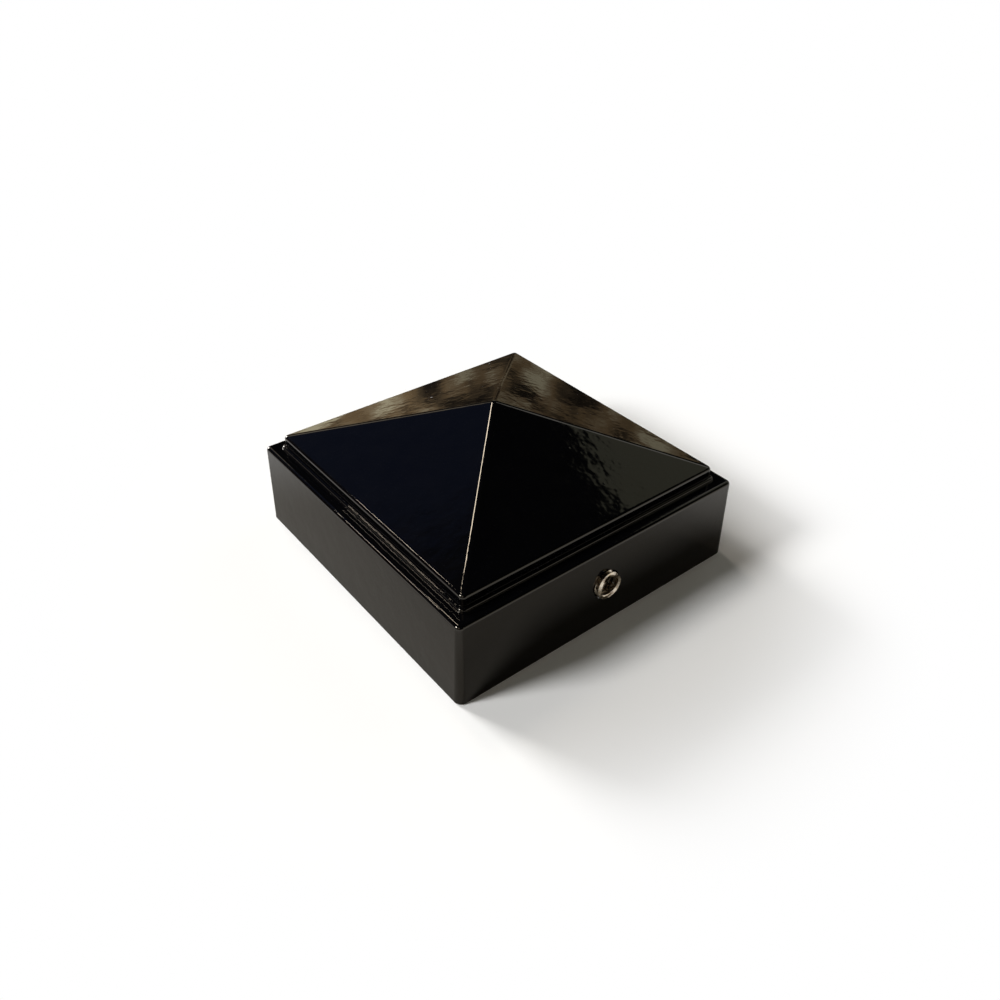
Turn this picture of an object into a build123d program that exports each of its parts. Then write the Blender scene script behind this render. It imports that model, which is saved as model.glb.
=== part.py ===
from build123d import *
import math
import os

# Cast pyramid cap for a square post, with the hex socket set screw that holds it.
# Millimetres. The origin is the middle of the open bottom rim and +Z points up to the apex.
# The wall that carries the screw faces -Y.

# Socket that slips over the post
post_width = 65.0  # outside width of the square post
post_gap = 0.5  # room on each side of the post's end
socket_corner_radius = 1.2
core_draft = 1.0  # degrees, lets the core leave the casting
seat_edge_radius = 0.8

# Skirt around the post
skirt_wall = 3.2  # thickness at the rim
skirt_draft = 1.5  # degrees, the skirt leans in towards the top
skirt_height = 19.4
skirt_corner_radius = 1.6
skirt_edge_radius = 0.8
rim_edge_radius = 0.35
shoulder_wall = 3.2  # thickness over the ledge that the post's end meets

# Stepped moulding between the skirt and the roof
shoulder_width = 2.6
lower_step_height = 0.7
lower_step_corner_radius = 1.1
tread_width = 0.6
upper_step_height = 2.36
upper_step_corner_radius = 1.0
step_edge_radius = 0.5
step_root_radius = 0.1

# Four-sided roof
roof_pitch = 21.0  # degrees
roof_wall = 3.0
hip_radius = 1.8
eave_radius = 0.75
hollow_corner_radius = 2.0

# Set screw, M6 with a cup point
screw_diameter = 6.0
screw_length = 4.0
screw_below_seat = 5.9  # from the ledge down to the screw's axis
thread_gap = 0.05  # between the screw and its hole, all round
tip_setback = 0.35  # the point stops this far short of the socket
hole_countersink = 0.25
face_chamfer = 0.3
point_chamfer = 0.9
cup_diameter = 3.0
drill_angle = 118.0  # of the cup and of the bottom of the key socket
key_width = 3.0  # across the flats
key_depth = 1.6
key_mouth_diameter = 5.0
key_mouth_angle = 120.0

# Heights above the rim
seat_height = skirt_height - shoulder_wall
lower_step_top = skirt_height + lower_step_height
eave_height = lower_step_top + upper_step_height
screw_height = seat_height - screw_below_seat


def lean(height, angle):
    """Sideways run of a drafted wall over a height."""
    return height * math.tan(math.radians(angle))


# Half widths from the cap's middle
seat_half = post_width / 2 + post_gap
mouth_half = seat_half + lean(seat_height, core_draft)
rim_half = mouth_half + skirt_wall
shoulder_half = rim_half - lean(skirt_height, skirt_draft)
lower_step_half = shoulder_half - shoulder_width
eave_half = lower_step_half - tread_width
hollow_half = eave_half - roof_wall

# Roof
roof_slope = math.tan(math.radians(roof_pitch))
apex_height = eave_height + eave_half * roof_slope
hollow_apex = apex_height - roof_wall / math.cos(math.radians(roof_pitch))

# Screw, from the axis of the cap outwards
screw_radius = screw_diameter / 2
wall_inside = mouth_half - lean(screw_height, core_draft)
wall_outside = rim_half - lean(screw_height, skirt_draft)
screw_face = wall_inside + tip_setback + screw_length


def square_block(half_width, corner_radius, low, high, draft=0.0):
    """Square block with rounded upright corners that leans in by the draft."""
    outline = RectangleRounded(2 * half_width, 2 * half_width, corner_radius)
    return extrude(Pos(0, 0, low) * outline, high - low, taper=draft)


def pyramid(top, low):
    """Four-sided pyramid at the roof's pitch, with rounded hips."""
    base_width = 2 * (top - low) / roof_slope
    base = Pos(0, 0, low) * Rectangle(base_width, base_width)
    sharp = loft([base.face(), Vertex(0, 0, top)])
    hips = sharp.edges().filter_by_position(Axis.Z, low, top, inclusive=(False, False))
    return fillet(hips, hip_radius)


def square_loop(block, half_width, height, corner_radius):
    """Edges of the rounded square loop of this half width at this height."""
    def on_loop(edge):
        middle = edge @ 0.5
        reach = max(abs(middle.X), abs(middle.Y))
        return max(abs(reach - half_width), abs(middle.Z - height)) < corner_radius / 2
    return block.edges().filter_by(on_loop)


def skirt():
    """Drafted block under the shoulder, before it is hollowed."""
    block = square_block(rim_half, skirt_corner_radius, 0, skirt_height, skirt_draft)
    block = fillet(block.faces().sort_by(Axis.Z)[-1].edges(), skirt_edge_radius)
    return fillet(block.faces().sort_by(Axis.Z)[0].edges(), rim_edge_radius)


def lower_step():
    """Lower step of the moulding."""
    block = square_block(lower_step_half, lower_step_corner_radius, seat_height, lower_step_top)
    return fillet(block.faces().sort_by(Axis.Z)[-1].edges(), step_edge_radius)


def roof():
    """Upper step with the roof on top."""
    block = square_block(eave_half, upper_step_corner_radius, seat_height, apex_height)
    block = block & pyramid(apex_height, seat_height)
    eave = square_loop(block, eave_half, eave_height, upper_step_corner_radius)
    return fillet(eave, eave_radius)


def core():
    """Space inside: the socket for the post and the hollow under the roof."""
    socket = square_block(mouth_half, socket_corner_radius, 0, seat_height, core_draft)
    hollow = square_block(hollow_half, hollow_corner_radius, 0, apex_height)
    return socket + (hollow & pyramid(hollow_apex, 0))


def on_screw_axis(shape, distance):
    """Turn a shape drawn along +Z to face -Y, at the screw's height and this far out."""
    return Pos(0, -distance, screw_height) * Rot(90, 0, 0) * shape


def screw_hole():
    """Hole through the wall with a small countersink outside."""
    radius = screw_radius + thread_gap
    hole = on_screw_axis(Cylinder(radius, 2 * skirt_wall), (wall_inside + wall_outside) / 2)
    cone = Cone(radius, radius + 2 * hole_countersink, 2 * hole_countersink)
    return hole + on_screw_axis(cone, wall_outside)


def post_cap():
    """The casting, one piece."""
    cap = skirt() + lower_step() + roof()
    lower_root = square_loop(cap, lower_step_half, skirt_height, lower_step_corner_radius)
    cap = fillet(lower_root, step_root_radius) - core()
    seat_edge = square_loop(cap, hollow_half, seat_height, hollow_corner_radius)
    return fillet(seat_edge, seat_edge_radius) - screw_hole()


def set_screw():
    """Hex socket set screw with a cup point, its face at the outer end."""
    cup_radius = cup_diameter / 2
    cup_depth = cup_radius / math.tan(math.radians(drill_angle / 2))
    profile = Polyline(
        (0, 0),
        (screw_radius - face_chamfer, 0),
        (screw_radius, -face_chamfer),
        (screw_radius, point_chamfer - screw_length),
        (screw_radius - point_chamfer, -screw_length),
        (cup_radius, -screw_length),
        (0, cup_depth - screw_length),
        close=True,
    )
    blank = revolve(Plane.XZ * make_face(profile), Axis.Z)
    drill_depth = key_width / 2 / math.tan(math.radians(drill_angle / 2))
    drill_point = Pos(0, 0, -key_depth - drill_depth / 2) * Cone(0, key_width / 2, drill_depth)
    key = extrude(RegularPolygon(key_width / 2, 6, major_radius=False), -key_depth)
    mouth_depth = key_mouth_diameter / 2 / math.tan(math.radians(key_mouth_angle / 2))
    mouth = Pos(0, 0, -mouth_depth / 2) * Cone(0, key_mouth_diameter / 2, mouth_depth)
    return on_screw_axis(blank - drill_point - key - mouth, screw_face)


os.makedirs("parts", exist_ok=True)
export_step(post_cap(), "parts/post_cap.step")
export_step(set_screw(), "parts/set_screw.step")
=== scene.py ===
import math
import bpy
from mathutils import Matrix, Vector


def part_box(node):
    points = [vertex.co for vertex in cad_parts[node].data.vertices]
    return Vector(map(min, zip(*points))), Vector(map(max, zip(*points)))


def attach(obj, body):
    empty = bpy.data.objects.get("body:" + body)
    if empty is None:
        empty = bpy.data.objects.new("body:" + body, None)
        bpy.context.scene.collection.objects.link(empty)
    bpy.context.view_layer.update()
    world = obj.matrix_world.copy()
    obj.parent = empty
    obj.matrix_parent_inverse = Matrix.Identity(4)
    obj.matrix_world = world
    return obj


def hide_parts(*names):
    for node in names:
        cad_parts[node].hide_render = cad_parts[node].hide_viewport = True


# Looks of a cast pyramid post cap in gloss black powder coat, held by one bright M6 set screw.
# Metres, in the frame of the CAD model: the rim stands on z = 0 and the screw's wall faces -Y.

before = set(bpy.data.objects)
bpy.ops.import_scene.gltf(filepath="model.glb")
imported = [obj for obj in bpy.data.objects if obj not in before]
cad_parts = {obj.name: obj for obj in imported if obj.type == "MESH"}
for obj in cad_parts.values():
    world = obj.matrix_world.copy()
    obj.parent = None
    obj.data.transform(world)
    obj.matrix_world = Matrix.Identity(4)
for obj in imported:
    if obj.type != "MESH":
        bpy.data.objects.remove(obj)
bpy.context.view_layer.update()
scene = bpy.context.scene
bpy.ops.object.select_all(action="DESELECT")
mm = 0.001
noiseRange = {"From Min": 0.3, "From Max": 0.7}  # where most of a noise pattern's values lie
print("frame loaded:", sorted(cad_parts))


def linear(hexColour):
    # sRGB hex to the linear colour that Blender's sockets take
    parts = [int(hexColour[i:i + 2], 16) / 255 for i in (1, 3, 5)]
    return [p / 12.92 if p <= 0.04045 else ((p + 0.055) / 1.055) ** 2.4 for p in parts] + [1.0]


def addNode(tree, kind, inputs=None, **settings):
    # one node with its settings, its values and what is linked into it
    # a Mix node's sockets share names, so they go by number: 2 and 3 for values, 6 and 7 for colours
    node = tree.nodes.new(kind)
    for name, value in settings.items():
        setattr(node, name, value)
    for socket, value in (inputs or {}).items():
        if isinstance(value, bpy.types.NodeSocket):
            tree.links.new(value, node.inputs[socket])
        else:
            node.inputs[socket].default_value = value
    return node


def newMaterial(name):
    material = bpy.data.materials.new(name)
    material.use_nodes = True
    material.node_tree.nodes.clear()
    return material, material.node_tree


def fillRamp(ramp, stops):
    elements = ramp.color_ramp.elements
    while len(elements) < len(stops):
        elements.new(0.5)
    for element, (position, colour) in zip(elements, stops):
        element.position = position
        element.color = linear(colour)


def direction(azimuth, elevation):
    # azimuth goes round from -Y towards +X
    a, e = math.radians(azimuth), math.radians(elevation)
    return Vector((math.sin(a) * math.cos(e), -math.cos(a) * math.cos(e), math.sin(e)))


def drawLine(points):
    # a chain of edges, drawn by extruding one vertex from point to point
    bpy.ops.mesh.primitive_plane_add(size=mm, location=points[0])
    line = bpy.context.object
    bpy.ops.object.transform_apply(location=True, rotation=True, scale=True)
    bpy.ops.object.mode_set(mode="EDIT")
    bpy.ops.mesh.merge(type="CENTER")
    for start, end in zip(points, points[1:]):
        step = Vector(end) - Vector(start)
        bpy.ops.mesh.extrude_region_move(TRANSFORM_OT_translate={"value": step})
    bpy.ops.object.mode_set(mode="OBJECT")
    return line


# camera, at the photograph's viewing angle
cameraSetup = {
    "lens": 32.32,  # mm, on the sensor width below
    "sensorWidth": 36,
    "azimuth": -39.091,
    "elevation": 36.740,
    "roll": 0.922,
    "distance": 205.84 * mm,
    "aimRight": 1.67 * mm,
    "aimUp": 7.60 * mm,
    "clip": (5 * mm, 20.0),
}


def makeCamera(s):
    bpy.ops.object.camera_add()
    camera = bpy.context.object
    camera.name = "photoCamera"
    back = direction(s["azimuth"], s["elevation"])
    side = Vector((0, 0, 1)).cross(back).normalized()
    rise = back.cross(side)
    roll = math.radians(s["roll"])
    right = side * math.cos(roll) + rise * math.sin(roll)
    up = rise * math.cos(roll) - side * math.sin(roll)
    place = back * s["distance"] + right * s["aimRight"] + up * s["aimUp"]
    turn = Matrix((right, up, back)).transposed().to_4x4()
    camera.matrix_world = Matrix.Translation(place) @ turn
    camera.data.lens = s["lens"]
    camera.data.sensor_width = s["sensorWidth"]
    camera.data.clip_start, camera.data.clip_end = s["clip"]
    scene.camera = camera


makeCamera(cameraSetup)
scene.view_settings.view_transform = "Standard"
print("camera set")


# the floor is a matt white board that keeps the cap's shadow and fades to plain white around it
floorBoard = {
    "radius": 1.0,
    "sides": 96,
    "colour": "#f6f6f5",
    "paintedShadeMirrored": "#a3a09a",  # painted shade: a darker grey copy of the board near the cap, which only its gloss mirrors
    "whiteFrom": 54 * mm,  # between these distances the lit board turns to plain white
    "whiteTo": 96 * mm,
}


def makeFloor(s):
    bpy.ops.mesh.primitive_circle_add(vertices=s["sides"], radius=s["radius"], fill_type="NGON")
    floor = bpy.context.object
    floor.name = "studioFloor"
    # painted board: even, without any sheen
    material, tree = newMaterial("matt white studio board")
    place = addNode(tree, "ShaderNodeTexCoord").outputs["Object"]
    reach = addNode(tree, "ShaderNodeVectorMath", {0: place}, operation="LENGTH")
    far = addNode(tree, "ShaderNodeMapRange", {
        "Value": reach.outputs["Value"], "From Min": s["whiteFrom"], "From Max": s["whiteTo"],
    }, interpolation_type="SMOOTHSTEP")
    path = addNode(tree, "ShaderNodeLightPath")
    seen = path.outputs["Is Camera Ray"]
    for ray in ("Is Glossy Ray", "Is Transmission Ray"):
        either = addNode(tree, "ShaderNodeMath", {0: seen, 1: path.outputs[ray]}, operation="MAXIMUM")
        seen = either.outputs[0]
    white = addNode(tree, "ShaderNodeMath", {0: seen, 1: far.outputs["Result"]}, operation="MULTIPLY")
    # painted shade: glossy rays see the board in the darker grey, the camera sees it white
    colour = addNode(tree, "ShaderNodeMix", {
        "Factor": path.outputs["Is Glossy Ray"], 6: linear(s["colour"]), 7: linear(s["paintedShadeMirrored"]),
    }, data_type="RGBA")
    board = addNode(tree, "ShaderNodeBsdfDiffuse", {"Color": colour.outputs[2]})
    glow = addNode(tree, "ShaderNodeEmission", {"Color": linear("#ffffff"), "Strength": 1.0})
    shader = addNode(tree, "ShaderNodeMixShader", {
        0: white.outputs[0], 1: board.outputs[0], 2: glow.outputs[0],
    })
    addNode(tree, "ShaderNodeOutputMaterial", {"Surface": shader.outputs[0]})
    floor.data.materials.append(material)


lamps = {
    # round softboxes far away: azimuth, elevation, angular width in degrees, strength, colour
    "softboxes": {
        "leftSoftbox": (-110, 33, 16, 2.9, "#ffffff"),
        "backSoftbox": (-167, 22, 20, 3.4, "#ffffff"),
    },
    # thin strips that draw the bright lines on the edges: azimuth, elevation, angular length
    # and width, turn in degrees, strength, colour
    "strips": {
        "ridgeStrip": (170.5, 57.5, 11.0, 3.6, 70.0, 0.26, "#fff4e6"),
        "edgeStrip": (-159, 46.3, 9.0, 2.0, 62.7, 0.17, "#fff6ea"),
    },
    "stripDistance": 1.5,
}


def makeLamps(s):
    for name, (azimuth, elevation, width, strength, colour) in s["softboxes"].items():
        bpy.ops.object.light_add(type="SUN")
        lamp = bpy.context.object
        lamp.name = name
        lamp.rotation_euler = direction(azimuth, elevation).to_track_quat("Z", "Y").to_euler()
        lamp.data.angle = math.radians(width)
        lamp.data.energy = strength
        lamp.data.color = linear(colour)[:3]
    far = s["stripDistance"]
    for name, (azimuth, elevation, length, width, turn, strength, colour) in s["strips"].items():
        bpy.ops.object.light_add(type="AREA")
        lamp = bpy.context.object
        lamp.name = name
        out = direction(azimuth, elevation)
        east = direction(azimuth + 90, 0)
        along = east * math.cos(math.radians(turn)) + out.cross(east) * math.sin(math.radians(turn))
        facing = Matrix((along, out.cross(along), out)).transposed().to_4x4()
        lamp.matrix_world = Matrix.Translation(out * far) @ facing
        lamp.data.shape = "RECTANGLE"
        lamp.data.size = 2 * far * math.tan(math.radians(length / 2))
        lamp.data.size_y = 2 * far * math.tan(math.radians(width / 2))
        lamp.data.energy = strength * math.pi * far ** 2
        lamp.data.color = linear(colour)[:3]


# the dim room that the gloss mirrors
room = {
    # sine of the height over the horizon, colour
    "heights": (
        (0.00, "#8a745f"),
        (0.08, "#6a5443"),
        (0.16, "#2a211a"),
        (0.32, "#101112"),
        (0.70, "#0f1113"),
        (1.00, "#131519"),
    ),
    # soft patches: azimuth, elevation, inner and outer radius in degrees, colour
    "patches": (
        (179, 40, 8, 15, "#344062"),  # blue, on the left roof face
        (92, 31, 21.6, 22.6, "#a3a698"),  # grey, on the roof face over the screw
        (119, 18, 12, 15, "#0b0c0d"),  # dark, on the right hip beside its two lights
        (141, 13, 5, 9, "#b4ad9a"),  # light on the back hip
        (112, 41, 4, 6, "#ffffff"),  # two lights on the right hip
        (106, 36, 4, 6, "#ffffff"),
        (169, 34, 4, 6, "#fff2dc"),  # two lights on the left hip
        (173, 28, 4, 6, "#fff2dc"),
        (31, 4, 7, 14, "#e6e0d2"),  # light on the moulding over the screw and on the screw's edges
        (48, 4, 7, 14, "#e6e0d2"),  # light on the moulding over the screw
        (-58, 33, 14, 22, "#f6ecdc"),  # wide soft light from the front left
    ),
}


def makeRoom(s):
    scene.world = bpy.data.worlds.new("studioRoom")
    scene.world.use_nodes = True
    tree = scene.world.node_tree
    tree.nodes.clear()
    place = addNode(tree, "ShaderNodeTexCoord").outputs["Generated"]
    axes = addNode(tree, "ShaderNodeSeparateXYZ", {"Vector": place})
    ramp = addNode(tree, "ShaderNodeValToRGB", {"Fac": axes.outputs["Z"]})
    fillRamp(ramp, s["heights"])
    colour = ramp.outputs["Color"]
    for azimuth, elevation, inner, outer, patchColour in s["patches"]:
        near = addNode(tree, "ShaderNodeVectorMath", {
            0: place, 1: direction(azimuth, elevation),
        }, operation="DOT_PRODUCT")
        amount = addNode(tree, "ShaderNodeMapRange", {
            "Value": near.outputs["Value"],
            "From Min": math.cos(math.radians(outer)), "From Max": math.cos(math.radians(inner)),
        }, interpolation_type="SMOOTHSTEP")
        mixed = addNode(tree, "ShaderNodeMix", {
            "Factor": amount.outputs["Result"], 6: colour, 7: linear(patchColour),
        }, data_type="RGBA")
        colour = mixed.outputs[2]
    # the camera sees plain white behind the floor, the cap sees the room
    path = addNode(tree, "ShaderNodeLightPath")
    seen = addNode(tree, "ShaderNodeMix", {
        "Factor": path.outputs["Is Camera Ray"], 6: colour, 7: linear("#ffffff"),
    }, data_type="RGBA")
    background = addNode(tree, "ShaderNodeBackground", {"Color": seen.outputs[2], "Strength": 1.0})
    addNode(tree, "ShaderNodeOutputWorld", {"Surface": background.outputs[0]})


# a low glowing card behind the cap, which only its gloss sees: a painted reflection of mottled brown
# streaks
reflectionCard = {
    "radius": 130 * mm,
    "height": (1 * mm, 48 * mm),
    "azimuths": (95, 190),
    "segments": 48,
    "blotchSize": 15 * mm,
    "blotchDetail": 5.0,
    "flatten": 2.6,  # the blotches are this many times as wide as they are high
    # share of the noise, colour
    "colours": (
        (0.36, "#1c1812"),
        (0.43, "#4a3f2f"),
        (0.51, "#6f5c42"),
        (0.58, "#7f715a"),
        (0.66, "#aaa288"),
    ),
    # X and strength, brighter towards the end that the far left roof edge mirrors
    "brightEnd": (46 * mm, 2.3),
    "plainEnd": (66 * mm, 1.0),
}


def makeCard(s):
    low, high = s["height"]
    first, last = s["azimuths"]
    start = direction(first, 0) * s["radius"]
    card = drawLine([(start.x, start.y, low), (start.x, start.y, high)])
    card.name = "paintedReflectionCard"
    bpy.ops.object.mode_set(mode="EDIT")
    bpy.ops.mesh.select_all(action="SELECT")
    sweep = math.radians(last - first)
    bpy.ops.mesh.spin(steps=s["segments"], angle=-sweep, center=(0, 0, 0), axis=(0, 0, 1))
    bpy.ops.object.mode_set(mode="OBJECT")
    # painted reflection: glowing warm blotches, which the gloss shows as brown streaks
    material, tree = newMaterial("glowing card for a painted reflection")
    place = addNode(tree, "ShaderNodeTexCoord").outputs["Object"]
    flat = addNode(tree, "ShaderNodeMapping", {"Vector": place, "Scale": (1, 1, s["flatten"])})
    blotch = addNode(tree, "ShaderNodeTexNoise", {
        "Vector": flat.outputs[0], "Scale": 1 / s["blotchSize"], "Detail": s["blotchDetail"],
    })
    ramp = addNode(tree, "ShaderNodeValToRGB", {"Fac": blotch.outputs["Fac"]})
    fillRamp(ramp, s["colours"])
    across = addNode(tree, "ShaderNodeSeparateXYZ", {"Vector": place})
    (brightX, brightStrength), (plainX, plainStrength) = s["brightEnd"], s["plainEnd"]
    bright = addNode(tree, "ShaderNodeMapRange", {
        "Value": across.outputs["X"], "From Min": brightX, "From Max": plainX,
        "To Min": brightStrength, "To Max": plainStrength,
    })
    glow = addNode(tree, "ShaderNodeEmission", {
        "Color": ramp.outputs["Color"], "Strength": bright.outputs["Result"],
    })
    addNode(tree, "ShaderNodeOutputMaterial", {"Surface": glow.outputs[0]})
    card.data.materials.append(material)
    for seenBy in ("camera", "diffuse", "shadow", "transmission", "volume_scatter"):
        setattr(card, "visible_" + seenBy, False)


makeFloor(floorBoard)
makeLamps(lamps)
makeRoom(room)
makeCard(reflectionCard)
print("studio lit")


# the casting keeps its CAD mesh; its finish is a gloss polyester powder coat, sprayed and baked
powderCoat = {
    "colour": "#020203",
    "colourDeep": "#050506",
    "cloudSize": 4 * mm,
    "cloudDetail": 3.0,
    "roughness": (0.04, 0.06),
    "ior": 1.5,
    "specularTint": "#fff5e4",
    # size, height and noise detail of each layer of the relief
    "relief": (
        (8 * mm, 0.036 * mm, 1.0),  # slow waves of the cast skin
        (3.4 * mm, 0.036 * mm, 1.0),  # orange peel
        (0.9 * mm, 0.008 * mm, 0.0),  # grain that frays the bright lines, coarser than real to show
    ),
    "nibSpacing": 7 * mm,  # a few nibs of grit under the coat, where these cells touch the surface
    "nibRadius": 0.4 * mm,
    "nibHeight": 0.06 * mm,
    "insideColour": "#161617",
    "insideRoughness": 0.42,
    # a face is inside where its plane lies behind the rim's middle, by this far and farther
    "insideFrom": -1 * mm,
    "insideTo": -2 * mm,
}


def makePowderCoat(s):
    # the baked powder flows to a deep, wet-looking black that mirrors the room through a faint ripple
    material, tree = newMaterial("gloss black powder coat on cast aluminium")
    coordinates = addNode(tree, "ShaderNodeTexCoord")
    place = coordinates.outputs["Object"]
    cloud = addNode(tree, "ShaderNodeTexNoise", {
        "Vector": place, "Scale": 1 / s["cloudSize"], "Detail": s["cloudDetail"],
    })
    colour = addNode(tree, "ShaderNodeMix", {
        "Factor": cloud.outputs["Fac"], 6: linear(s["colour"]), 7: linear(s["colourDeep"]),
    }, data_type="RGBA")
    glossiest, dullest = s["roughness"]
    rough = addNode(tree, "ShaderNodeMapRange", {
        "Value": cloud.outputs["Fac"], **noiseRange, "To Min": glossiest, "To Max": dullest,
    })
    bump = None
    for size, height, detail in s["relief"]:
        noise = addNode(tree, "ShaderNodeTexNoise", {"Vector": place, "Scale": 1 / size, "Detail": detail})
        inputs = {"Height": noise.outputs["Fac"], "Strength": 1.0, "Distance": height}
        if bump:
            inputs["Normal"] = bump.outputs["Normal"]
        bump = addNode(tree, "ShaderNodeBump", inputs)
    cells = addNode(tree, "ShaderNodeTexVoronoi", {"Vector": place, "Scale": 1 / s["nibSpacing"]})
    nibs = addNode(tree, "ShaderNodeMapRange", {
        "Value": cells.outputs["Distance"], "From Max": s["nibRadius"] / s["nibSpacing"],
        "To Min": 1.0, "To Max": 0.0,
    }, interpolation_type="SMOOTHSTEP")
    bump = addNode(tree, "ShaderNodeBump", {
        "Height": nibs.outputs["Result"], "Strength": 1.0, "Distance": s["nibHeight"],
        "Normal": bump.outputs["Normal"],
    })
    # inside, where little powder reaches, the coat is thin and dull over the cast skin
    outward = addNode(tree, "ShaderNodeVectorMath", {
        0: place, 1: coordinates.outputs["Normal"],
    }, operation="DOT_PRODUCT")
    inside = addNode(tree, "ShaderNodeMapRange", {
        "Value": outward.outputs["Value"], "From Min": s["insideTo"], "From Max": s["insideFrom"],
        "To Min": 1.0, "To Max": 0.0,
    })
    colour = addNode(tree, "ShaderNodeMix", {
        "Factor": inside.outputs["Result"], 6: colour.outputs[2], 7: linear(s["insideColour"]),
    }, data_type="RGBA")
    rough = addNode(tree, "ShaderNodeMix", {
        "Factor": inside.outputs["Result"], 2: rough.outputs["Result"], 3: s["insideRoughness"],
    })
    shader = addNode(tree, "ShaderNodeBsdfPrincipled", {
        "Base Color": colour.outputs[2], "Roughness": rough.outputs[0],
        "IOR": s["ior"], "Specular Tint": linear(s["specularTint"]), "Normal": bump.outputs["Normal"],
    })
    addNode(tree, "ShaderNodeOutputMaterial", {"Surface": shader.outputs[0]})
    return material


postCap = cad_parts["post_cap"]
postCap.data.materials.clear()
postCap.data.materials.append(makePowderCoat(powderCoat))
print("cap coated")


# the set screw, with the thread that the CAD solid leaves out
setScrew = {
    "pitch": 1.0 * mm,
    "crestRadius": 2.98 * mm,
    "rootRadius": 2.387 * mm,
    "threadStart": -6,  # pitches from the face
    "threadTurns": 8,
    "threadPhase": 200,  # degrees, turns the thread's run-out round the face
    "faceChamfer": 0.3 * mm,
    "mouthRadius": 2.5 * mm,
    "mouthAngle": 120,
    "pointChamfer": 0.9 * mm,
    "cupRadius": 1.5 * mm,
    "drillAngle": 118,  # of the cup and of the hole under the hexagon
    "keyWidth": 3.0 * mm,
    "keyDepth": 1.6 * mm,
    "drillOverlap": 0.002 * mm,  # the drill point starts inside the hexagon, so no skin is left
    "steps": 96,
    "smoothAngle": 32,
}


def turnLine(line, steps, rise=0.0, turns=1):
    # one full turn round Z, or a screw of several turns
    turn = line.modifiers.new("turn", "SCREW")
    turn.steps = steps
    turn.render_steps = steps
    turn.screw_offset = rise
    turn.iterations = turns
    bpy.ops.object.modifier_apply(modifier="turn")
    bpy.ops.object.mode_set(mode="EDIT")
    bpy.ops.mesh.select_all(action="SELECT")
    bpy.ops.mesh.remove_doubles(threshold=0.001 * mm)
    bpy.ops.mesh.normals_make_consistent(inside=False)
    bpy.ops.object.mode_set(mode="OBJECT")


def combine(piece, tool, operation):
    # boolean with a second shape, which is used up
    change = piece.modifiers.new("change", "BOOLEAN")
    change.object = tool
    change.operation = operation
    change.solver = "EXACT"
    bpy.ops.object.select_all(action="DESELECT")
    bpy.context.view_layer.objects.active = piece
    piece.select_set(True)
    bpy.ops.object.modifier_apply(modifier="change")
    bpy.data.objects.remove(tool)


def makeSetScrew(s):
    low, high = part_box("set_screw")
    low, high = Vector(low), Vector(high)
    radius = (high.z - low.z) / 2
    length = high.y - low.y
    mouthDepth = s["mouthRadius"] / math.tan(math.radians(s["mouthAngle"] / 2))
    drillSlope = math.tan(math.radians(s["drillAngle"] / 2))
    # the turned blank, drawn along Z with its face at z = 0
    blank = drawLine([
        (0, 0, -mouthDepth),
        (s["mouthRadius"], 0, 0),
        (radius - s["faceChamfer"], 0, 0),
        (radius, 0, -s["faceChamfer"]),
        (radius, 0, s["pointChamfer"] - length),
        (radius - s["pointChamfer"], 0, -length),
        (s["cupRadius"], 0, -length),
        (0, 0, s["cupRadius"] / drillSlope - length),
    ])
    turnLine(blank, s["steps"])
    # one pitch of the thread's outline, screwed through more turns than the blank is long
    pitch, crest, root = s["pitch"], s["crestRadius"], s["rootRadius"]
    start = s["threadStart"] * pitch
    screw = drawLine([
        (root, 0, start),
        (root, 0, start + pitch / 8),
        (crest, 0, start + 7 * pitch / 16),
        (crest, 0, start + 9 * pitch / 16),
        (root, 0, start + 7 * pitch / 8),
        (root, 0, start + pitch),
    ])
    turnLine(screw, s["steps"], pitch, s["threadTurns"])
    # cut square and closed at both ends
    bpy.ops.object.mode_set(mode="EDIT")
    for height, clearOuter in ((pitch / 2, True), (-length - pitch / 2, False)):
        bpy.ops.mesh.select_all(action="SELECT")
        bpy.ops.mesh.bisect(plane_co=(0, 0, height), plane_no=(0, 0, 1), use_fill=True,
                            clear_outer=clearOuter, clear_inner=not clearOuter)
    bpy.ops.mesh.select_all(action="SELECT")
    bpy.ops.mesh.normals_make_consistent(inside=False)
    bpy.ops.object.mode_set(mode="OBJECT")
    screw.rotation_euler.z = math.radians(s["threadPhase"])
    bpy.ops.object.transform_apply(location=True, rotation=True, scale=True)
    combine(screw, blank, "INTERSECT")
    # the hexagon and the drill point under it
    keyCorner = s["keyWidth"] / math.sqrt(3)
    bpy.ops.mesh.primitive_cylinder_add(vertices=6, radius=keyCorner, depth=2 * s["keyDepth"])
    combine(screw, bpy.context.object, "DIFFERENCE")
    drillDepth = s["keyWidth"] / 2 / drillSlope
    bpy.ops.mesh.primitive_cone_add(
        vertices=s["steps"], radius1=0, radius2=s["keyWidth"] / 2, depth=drillDepth,
        location=(0, 0, -s["keyDepth"] - drillDepth / 2 + s["drillOverlap"]))
    combine(screw, bpy.context.object, "DIFFERENCE")
    # out of the drawing plane and into the wall
    screw.rotation_euler = (math.radians(90), 0, 0)
    screw.location = (0, low.y, (low.z + high.z) / 2)
    bpy.ops.object.transform_apply(location=True, rotation=True, scale=True)
    bpy.ops.object.shade_smooth_by_angle(angle=math.radians(s["smoothAngle"]))
    screw.name = "threadedSetScrew"
    return screw


screwSteel = {
    "colours": ((0.35, "#cdbca4"), (0.65, "#f0e6d6")),  # share of the noise, colour
    "smearSize": 0.7 * mm,
    "smearDetail": 2.0,
    "roughness": (0.18, 0.32),
    # the broached key socket is duller, and painted shade darkens its middle: distances from the screw's
    # axis
    "dullInside": (1.7 * mm, 1.9 * mm),
    "dullness": 0.1,
    "paintedShadeInside": (1.2 * mm, 1.4 * mm),
    "paintedShadeColour": "#0e0c0b",
}


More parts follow.
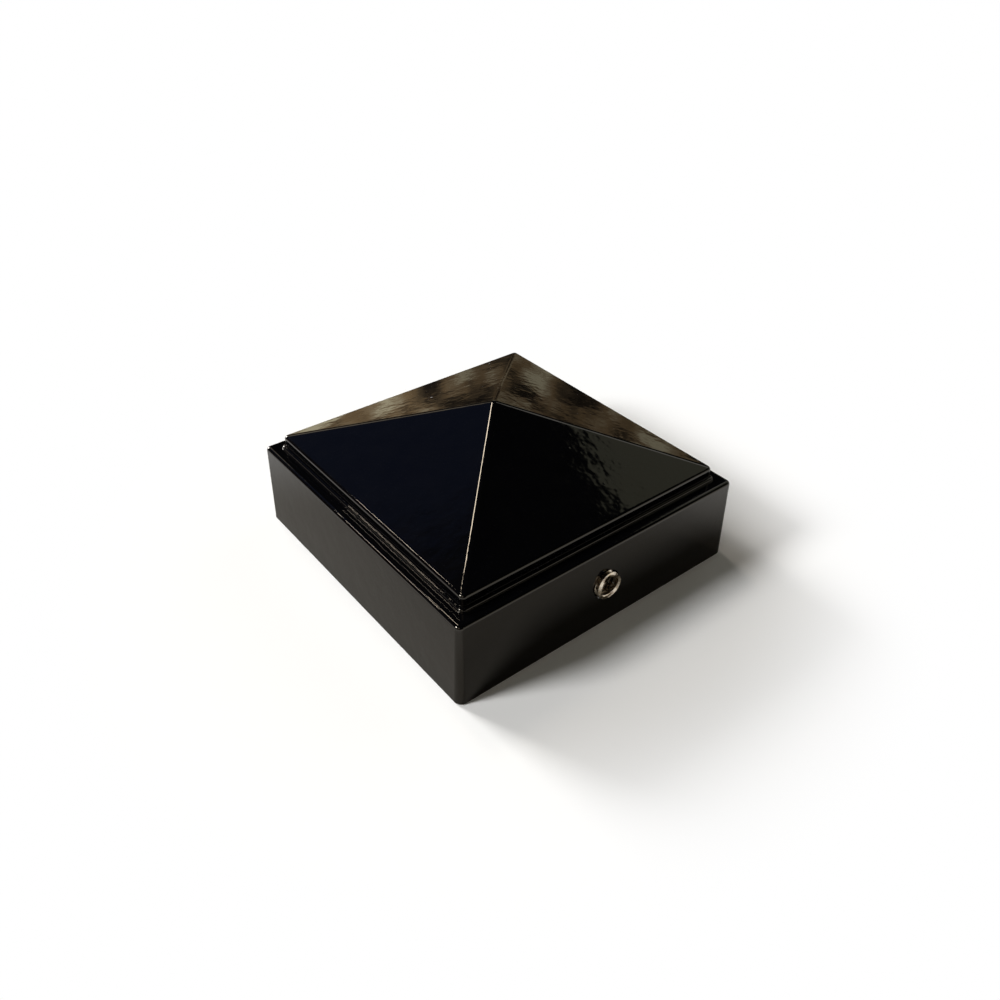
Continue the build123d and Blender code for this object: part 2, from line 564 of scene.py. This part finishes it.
def makeScrewSteel(s):
    # turned steel: bright and warm, with a soft, slightly smeared mirror
    material, tree = newMaterial("bright bare steel, turned")
    place = addNode(tree, "ShaderNodeTexCoord").outputs["Object"]
    smear = addNode(tree, "ShaderNodeTexNoise", {
        "Vector": place, "Scale": 1 / s["smearSize"], "Detail": s["smearDetail"],
    })
    colour = addNode(tree, "ShaderNodeValToRGB", {"Fac": smear.outputs["Fac"]})
    fillRamp(colour, s["colours"])
    glossiest, dullest = s["roughness"]
    rough = addNode(tree, "ShaderNodeMapRange", {
        "Value": smear.outputs["Fac"], **noiseRange, "To Min": glossiest, "To Max": dullest,
    })
    low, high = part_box("set_screw")
    fromAxis = addNode(tree, "ShaderNodeMapping", {
        "Vector": place, "Location": (0, 0, -(low[2] + high[2]) / 2), "Scale": (1, 0, 1),
    })
    reach = addNode(tree, "ShaderNodeVectorMath", {0: fromAxis.outputs[0]}, operation="LENGTH")
    near, far = s["dullInside"]
    dull = addNode(tree, "ShaderNodeMapRange", {
        "Value": reach.outputs["Value"], "From Min": near, "From Max": far,
        "To Min": s["dullness"], "To Max": 0.0,
    })
    rough = addNode(tree, "ShaderNodeMath", {
        0: rough.outputs["Result"], 1: dull.outputs["Result"],
    }, operation="ADD")
    # painted shade: near black towards the middle of the key socket
    near, far = s["paintedShadeInside"]
    socketShade = addNode(tree, "ShaderNodeMapRange", {
        "Value": reach.outputs["Value"], "From Min": near, "From Max": far, "To Min": 1.0, "To Max": 0.0,
    })
    socketShaded = addNode(tree, "ShaderNodeMix", {
        "Factor": socketShade.outputs["Result"], 6: colour.outputs["Color"], 7: linear(s["paintedShadeColour"]),
    }, data_type="RGBA")
    shader = addNode(tree, "ShaderNodeBsdfPrincipled", {
        "Base Color": socketShaded.outputs[2], "Metallic": 1.0, "Roughness": rough.outputs[0],
    })
    addNode(tree, "ShaderNodeOutputMaterial", {"Surface": shader.outputs[0]})
    return material


threadedSetScrew = makeSetScrew(setScrew)
threadedSetScrew.data.materials.clear()
threadedSetScrew.data.materials.append(makeScrewSteel(screwSteel))
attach(threadedSetScrew, "root")
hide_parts("set_screw")
print("set screw made:", len(threadedSetScrew.data.polygons), "faces")
